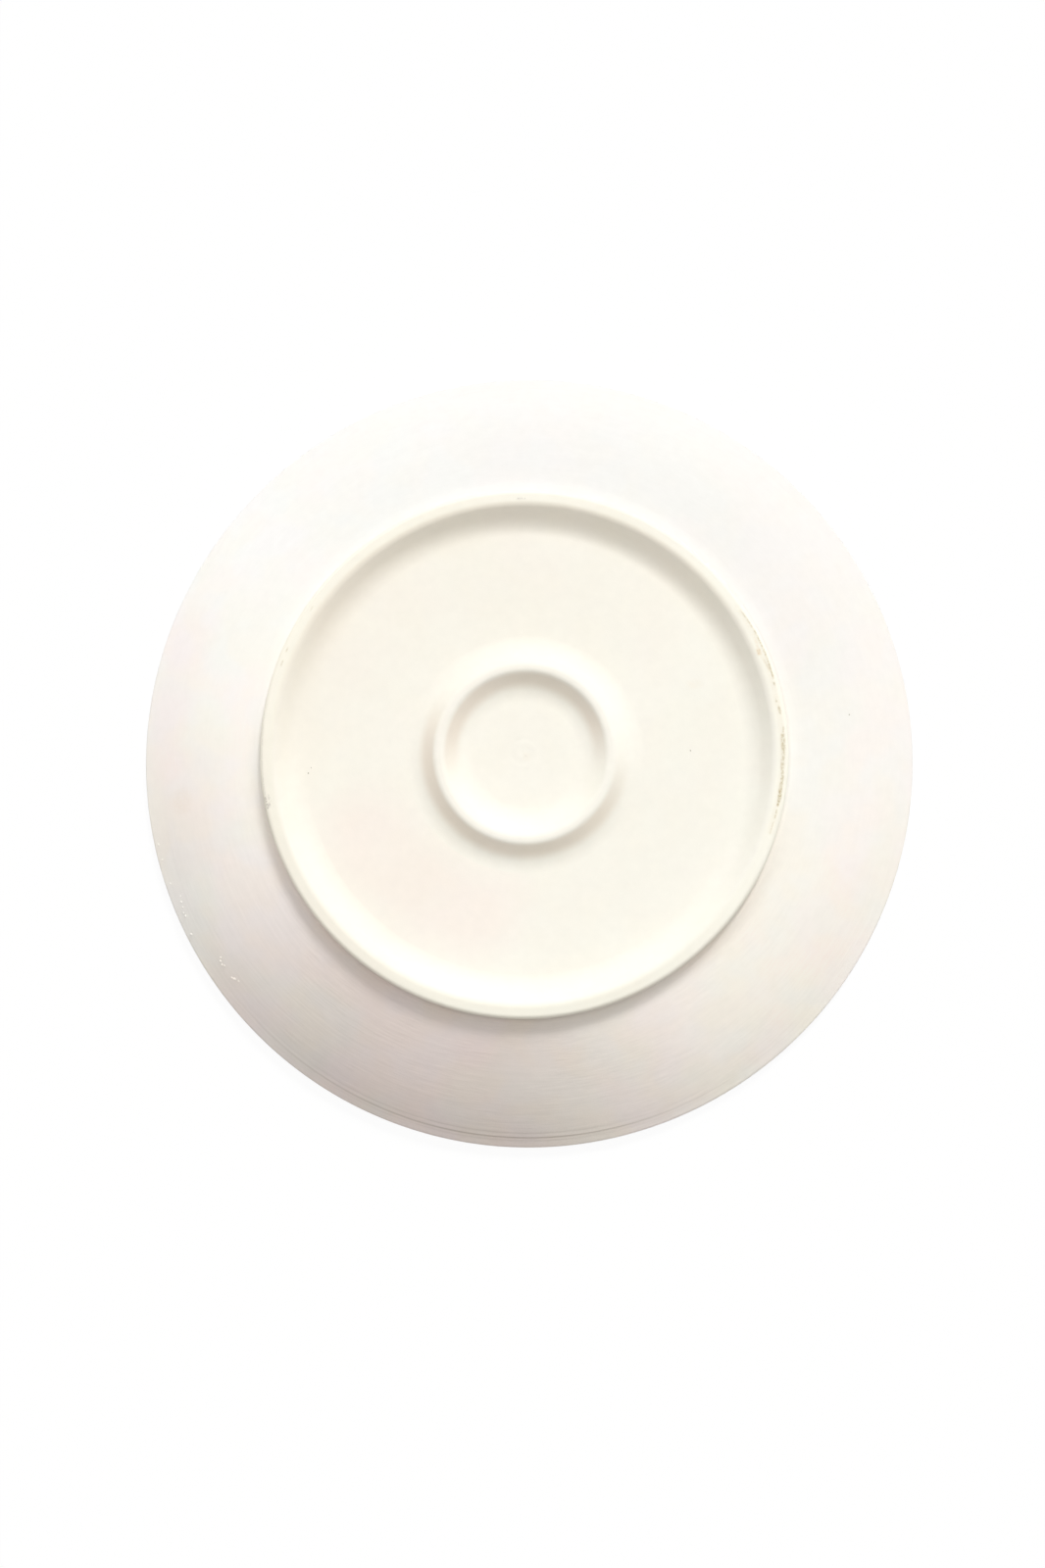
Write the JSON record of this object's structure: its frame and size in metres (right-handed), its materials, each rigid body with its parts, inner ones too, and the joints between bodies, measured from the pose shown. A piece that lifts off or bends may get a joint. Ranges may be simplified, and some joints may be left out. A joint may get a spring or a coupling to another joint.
{
  "type": "bisque plate",
  "caption": "Round rimless plate of unglazed fired clay, lying on its rim to show a wide foot ring and a small support ring on its turned underside.",
  "frame": {"origin": "centre of the rim, on the surface that the upturned plate lies on", "axes": "+Z is the axis the plate was turned about and points out of its underside, as in the picture; turn it 180 degrees about X to stand it on its foot ring"},
  "size_m": [0.305, 0.305, 0.029],
  "materials": {
    "turned_bisque": "matte",
    "foot_bisque": "matte"
  },
  "bodies": {
    "root": {"plate_body": "turned_bisque", "foot_ring": "foot_bisque", "centre_ring": "foot_bisque"}
  },
  "joints": []
}
